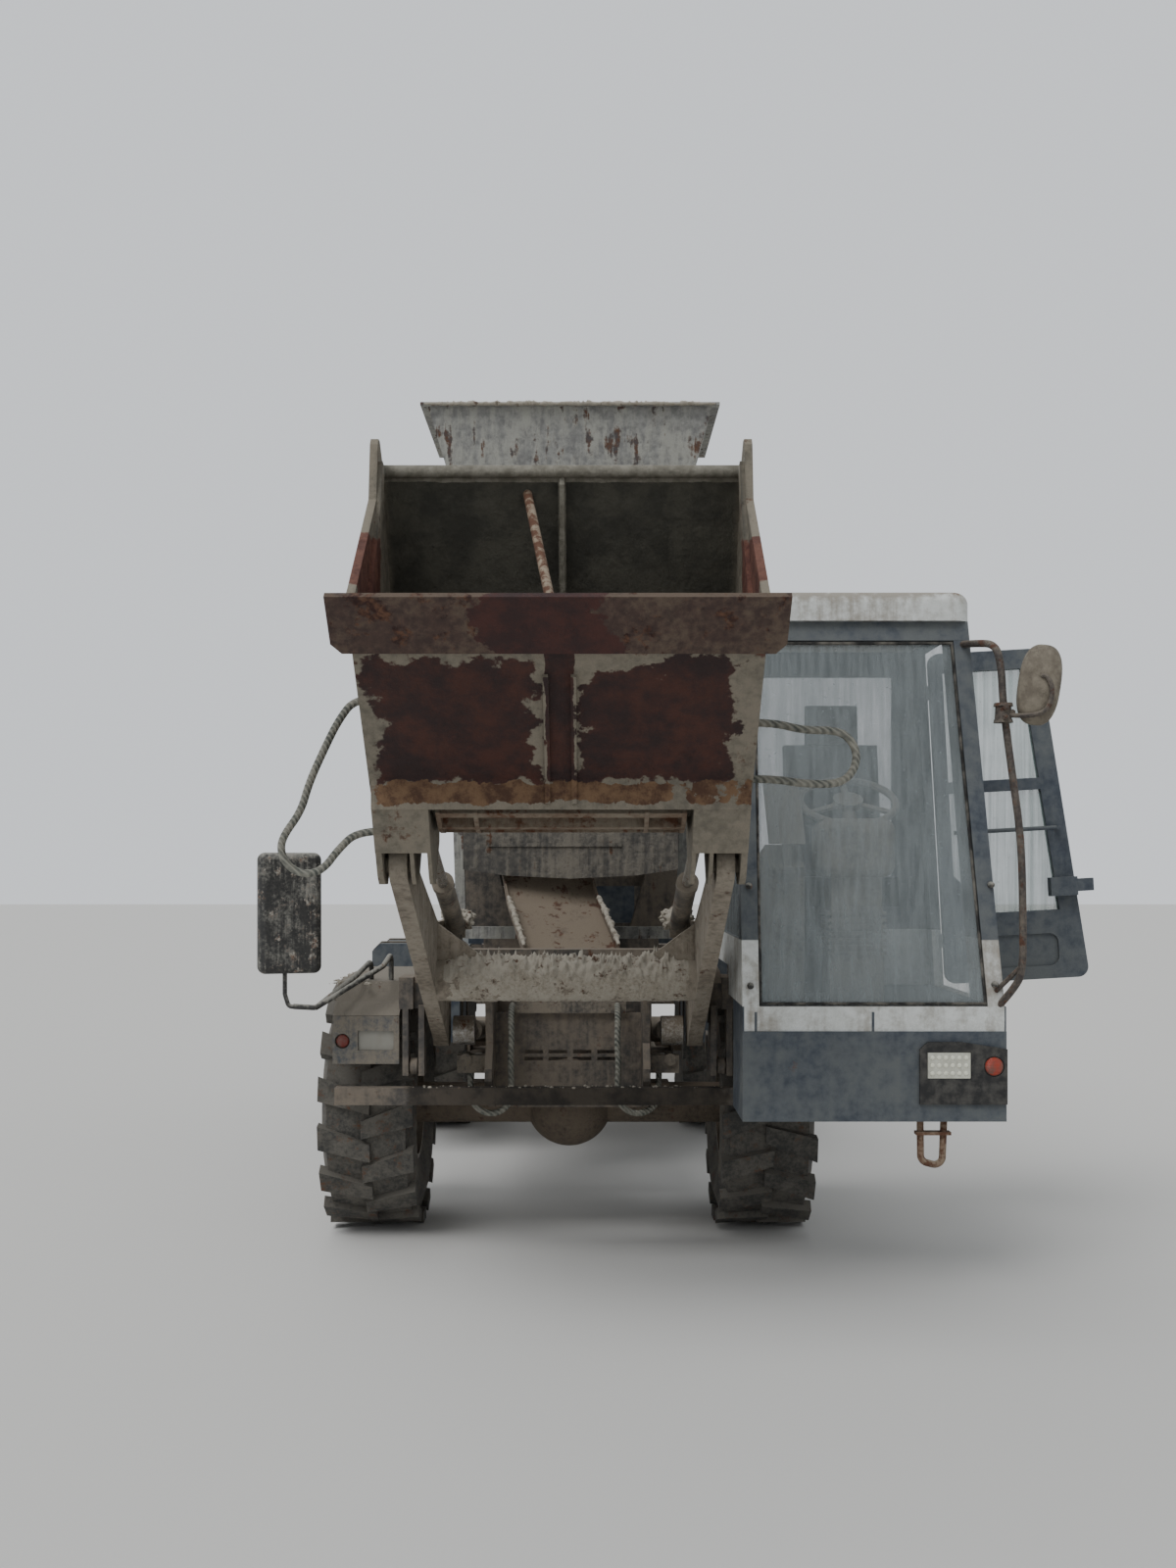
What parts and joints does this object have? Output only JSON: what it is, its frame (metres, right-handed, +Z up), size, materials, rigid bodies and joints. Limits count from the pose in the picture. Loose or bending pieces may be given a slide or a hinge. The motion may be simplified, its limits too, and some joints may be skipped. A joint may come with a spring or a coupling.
{
  "type": "self-loading concrete mixer",
  "caption": "Articulated self-loading concrete mixer with a raised front shovel, side cab, feed hopper and a tilted rear drum on off-road wheels.",
  "frame": {"origin": "on the ground below the middle of the whole machine's outer box, in the pose of the picture", "axes": "-Y is forward, towards the raised shovel; +Y points to the drum's rear and the engine; +X is the machine's left side, where the cab stands; +Z up. The machine's centreline lies at x = -0.510 m and its front axle at y = -0.700 m"},
  "size_m": [3.5034, 6.7658, 3.8044],
  "materials": {
    "cab_paint": "satin",
    "navy_paint": "satin",
    "dusty_steel": "matt",
    "frame_paint": "matt",
    "rusty_steel": "matt",
    "bright_rod": "polished",
    "cylinder_paint": "satin",
    "tyre": "matt",
    "rim_paint": "satin",
    "glass": "clear",
    "lamp": "gloss",
    "dark_plastic": "matt",
    "seat_cover": "matt",
    "drum_paint": "satin",
    "engine_iron": "matt",
    "tank_shell": "satin",
    "hose_rubber": "matt"
  },
  "bodies": {
    "front_frame": {"front_chassis": "dusty_steel", "front_axle": "dusty_steel", "right_fender": "navy_paint", "cab_floor": "navy_paint", "cab_frame": "cab_paint", "cab_roof": "cab_paint", "cab_windows": "glass", "operator_seat": "seat_cover", "steering_console": "dark_plastic", "side_console": "dark_plastic", "cab_mirror": "dark_plastic", "fender_mirror": "dark_plastic", "cab_step": "rusty_steel", "front_lamps": "lamp", "valve_blocks": "cylinder_paint", "front_hose_right": "hose_rubber", "front_hose_left": "hose_rubber"},
    "cab_door": {"cab_door": "navy_paint", "door_glass": "glass"},
    "boom": {"loader_arms": "dusty_steel"},
    "bucket": {"bucket_body": "dusty_steel", "cutting_edge": "rusty_steel", "tie_rod": "rusty_steel", "bucket_hose_right": "hose_rubber", "bucket_hose_left": "hose_rubber"},
    "bucket_gate": {"bucket_gate": "dusty_steel"},
    "lift_barrels": {"lift_barrels": "cylinder_paint"},
    "lift_rods": {"lift_rods": "bright_rod"},
    "tilt_barrels": {"tilt_barrels": "cylinder_paint"},
    "tilt_rods": {"tilt_rods": "bright_rod"},
    "gate_barrels": {"gate_barrels": "cylinder_paint"},
    "gate_rods": {"gate_rods": "bright_rod"},
    "steer_barrel_left": {"steer_barrel_left": "cylinder_paint"},
    "steer_rod_left": {"steer_rod_left": "bright_rod"},
    "steer_barrel_right": {"steer_barrel_right": "cylinder_paint"},
    "steer_rod_right": {"steer_rod_right": "bright_rod"},
    "rear_frame": {"rear_chassis": "frame_paint", "rear_axle": "dusty_steel", "drum_supports": "frame_paint", "feed_hopper": "dusty_steel", "discharge_collector": "dusty_steel", "engine_block": "engine_iron", "engine_cover": "navy_paint", "counterweight": "frame_paint", "rear_fenders": "navy_paint", "side_tanks": "tank_shell", "exhaust_pipe": "rusty_steel", "rear_lamps": "lamp"},
    "drum": {"drum": "drum_paint"},
    "chute": {"chute": "dusty_steel"},
    "engine_hood": {"engine_hood": "navy_paint"},
    "wheel_front_left": {"tyre_front_left": "tyre", "rim_front_left": "rim_paint"},
    "wheel_front_right": {"tyre_front_right": "tyre", "rim_front_right": "rim_paint"},
    "wheel_rear_left": {"tyre_rear_left": "tyre", "rim_rear_left": "rim_paint"},
    "wheel_rear_right": {"tyre_rear_right": "tyre", "rim_rear_right": "rim_paint"}
  },
  "joints": [
    {"name": "articulation", "type": "hinge", "parent": "front_frame", "child": "rear_frame", "pos_m": [-0.51, 0.675, 0.74], "axis": [0, 0, 1], "range_deg": [-28, 28]},
    {"name": "boom_lift", "type": "hinge", "parent": "front_frame", "child": "boom", "pos_m": [-0.51, -1.15, 1.11], "axis": [-1, 0, 0], "range_deg": [-50, 40]},
    {"name": "bucket_tilt", "type": "hinge", "parent": "boom", "child": "bucket", "pos_m": [-0.51, -2.63, 1.61], "axis": [1, 0, 0], "range_deg": [-40, 45]},
    {"name": "gate_swing", "type": "hinge", "parent": "bucket", "child": "bucket_gate", "pos_m": [-0.51, -2.285, 2.075], "axis": [1, 0, 0], "range_deg": [0, 70]},
    {"name": "lift_barrel_swing", "type": "hinge", "parent": "front_frame", "child": "lift_barrels", "pos_m": [-0.51, -0.05, 0.8], "axis": [1, 0, 0], "range_deg": [-4, 5]},
    {"name": "lift_rod_slide", "type": "slide", "parent": "lift_barrels", "child": "lift_rods", "axis": [0, -0.9952, 0.0977], "range_m": [-0.152, 0.122]},
    {"name": "tilt_barrel_swing", "type": "hinge", "parent": "boom", "child": "tilt_barrels", "pos_m": [-0.51, -1.3, 1.33], "axis": [1, 0, 0], "range_deg": [-4, 4]},
    {"name": "tilt_rod_slide", "type": "slide", "parent": "tilt_barrels", "child": "tilt_rods", "axis": [0, -0.9547, 0.2974], "range_m": [-0.084, 0.095]},
    {"name": "gate_barrel_swing", "type": "hinge", "parent": "bucket", "child": "gate_barrels", "pos_m": [-0.51, -2.47, 2.65], "axis": [1, 0, 0], "range_deg": [-1, 3]},
    {"name": "gate_rod_slide", "type": "slide", "parent": "gate_barrels", "child": "gate_rods", "axis": [0, 0.4069, -0.9135], "range_m": [-0.097, 0.003]},
    {"name": "steer_barrel_left_swing", "type": "hinge", "parent": "front_frame", "child": "steer_barrel_left", "pos_m": [-0.09, 0.1, 0.64], "axis": [0, 0, 1], "range_deg": [-15, 15]},
    {"name": "steer_rod_left_slide", "type": "slide", "parent": "steer_barrel_left", "child": "steer_rod_left", "axis": [-0.0174, 0.9998, 0], "range_m": [-0.2, 0.2]},
    {"name": "steer_barrel_right_swing", "type": "hinge", "parent": "front_frame", "child": "steer_barrel_right", "pos_m": [-0.93, 0.1, 0.64], "axis": [0, 0, 1], "range_deg": [-15, 15]},
    {"name": "steer_rod_right_slide", "type": "slide", "parent": "steer_barrel_right", "child": "steer_rod_right", "axis": [0.0174, 0.9998, 0], "range_m": [-0.2, 0.2]},
    {"name": "drum_turn", "type": "hinge", "parent": "rear_frame", "child": "drum", "pos_m": [-0.51, 2.65, 2.15], "axis": [0, -0.9613, 0.2756], "continuous": true},
    {"name": "chute_swing", "type": "hinge", "parent": "rear_frame", "child": "chute", "pos_m": [-0.64, -0.01, 1.38], "axis": [0, 0, 1], "range_deg": [-30, 14]},
    {"name": "door_swing", "type": "hinge", "parent": "front_frame", "child": "cab_door", "pos_m": [1.13, -0.983, 0.99], "axis": [-0.0558, 0, 0.9984], "range_deg": [-90, 0]},
    {"name": "hood_lift", "type": "hinge", "parent": "rear_frame", "child": "engine_hood", "pos_m": [-0.51, 2.8, 1.7], "axis": [1, 0, 0], "range_deg": [0, 60]},
    {"name": "front_left_wheel_turn", "type": "hinge", "parent": "front_frame", "child": "wheel_front_left", "pos_m": [0.342, -0.7, 0.537], "axis": [1, 0, 0], "continuous": true},
    {"name": "front_right_wheel_turn", "type": "hinge", "parent": "front_frame", "child": "wheel_front_right", "pos_m": [-1.362, -0.7, 0.537], "axis": [1, 0, 0], "continuous": true},
    {"name": "rear_left_wheel_turn", "type": "hinge", "parent": "rear_frame", "child": "wheel_rear_left", "pos_m": [0.342, 2.05, 0.537], "axis": [1, 0, 0], "continuous": true},
    {"name": "rear_right_wheel_turn", "type": "hinge", "parent": "rear_frame", "child": "wheel_rear_right", "pos_m": [-1.362, 2.05, 0.537], "axis": [1, 0, 0], "continuous": true}
  ],
  "couplings": [
    {"joint": "lift_barrel_swing", "follows": "boom_lift", "ratio": 0.0562},
    {"joint": "lift_rod_slide", "follows": "boom_lift", "m_per_rad": 0.1701},
    {"joint": "tilt_barrel_swing", "follows": "bucket_tilt", "ratio": -0.0479},
    {"joint": "tilt_rod_slide", "follows": "bucket_tilt", "m_per_rad": 0.1167},
    {"joint": "gate_barrel_swing", "follows": "gate_swing", "ratio": 0.0217},
    {"joint": "gate_rod_slide", "follows": "gate_swing", "m_per_rad": -0.0766},
    {"joint": "steer_barrel_left_swing", "follows": "articulation", "ratio": 0.4939},
    {"joint": "steer_rod_left_slide", "follows": "articulation", "m_per_rad": 0.4059},
    {"joint": "steer_barrel_right_swing", "follows": "articulation", "ratio": 0.4939},
    {"joint": "steer_rod_right_slide", "follows": "articulation", "m_per_rad": -0.4059}
  ]
}
